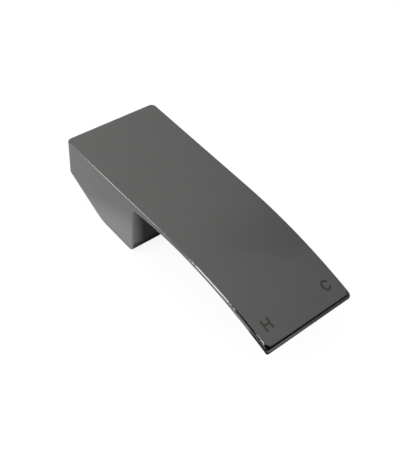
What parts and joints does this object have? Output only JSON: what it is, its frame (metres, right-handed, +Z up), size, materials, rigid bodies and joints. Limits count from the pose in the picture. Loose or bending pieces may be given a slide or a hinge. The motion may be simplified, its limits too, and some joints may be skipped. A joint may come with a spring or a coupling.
{
  "type": "tap handle",
  "caption": "Lever handle of a single-lever mixer tap: a blade bent down to its tip on a hollow square boss, with a square spindle socket and a set screw, in polished gunmetal.",
  "frame": {"origin": "centre of the spindle socket's mouth, on the end of the pillar inside the boss", "axes": "+Z up, out of the top of the lever; -Y from the spindle to the lever's tip; X across its width"},
  "size_m": [0.042, 0.1158, 0.026],
  "materials": {
    "gunmetal": "dark gunmetal plating, mirror polished",
    "screw_steel": "plain stainless steel"
  },
  "bodies": {
    "root": {"handle_body": "gunmetal", "grub_screw": "screw_steel"}
  },
  "joints": []
}
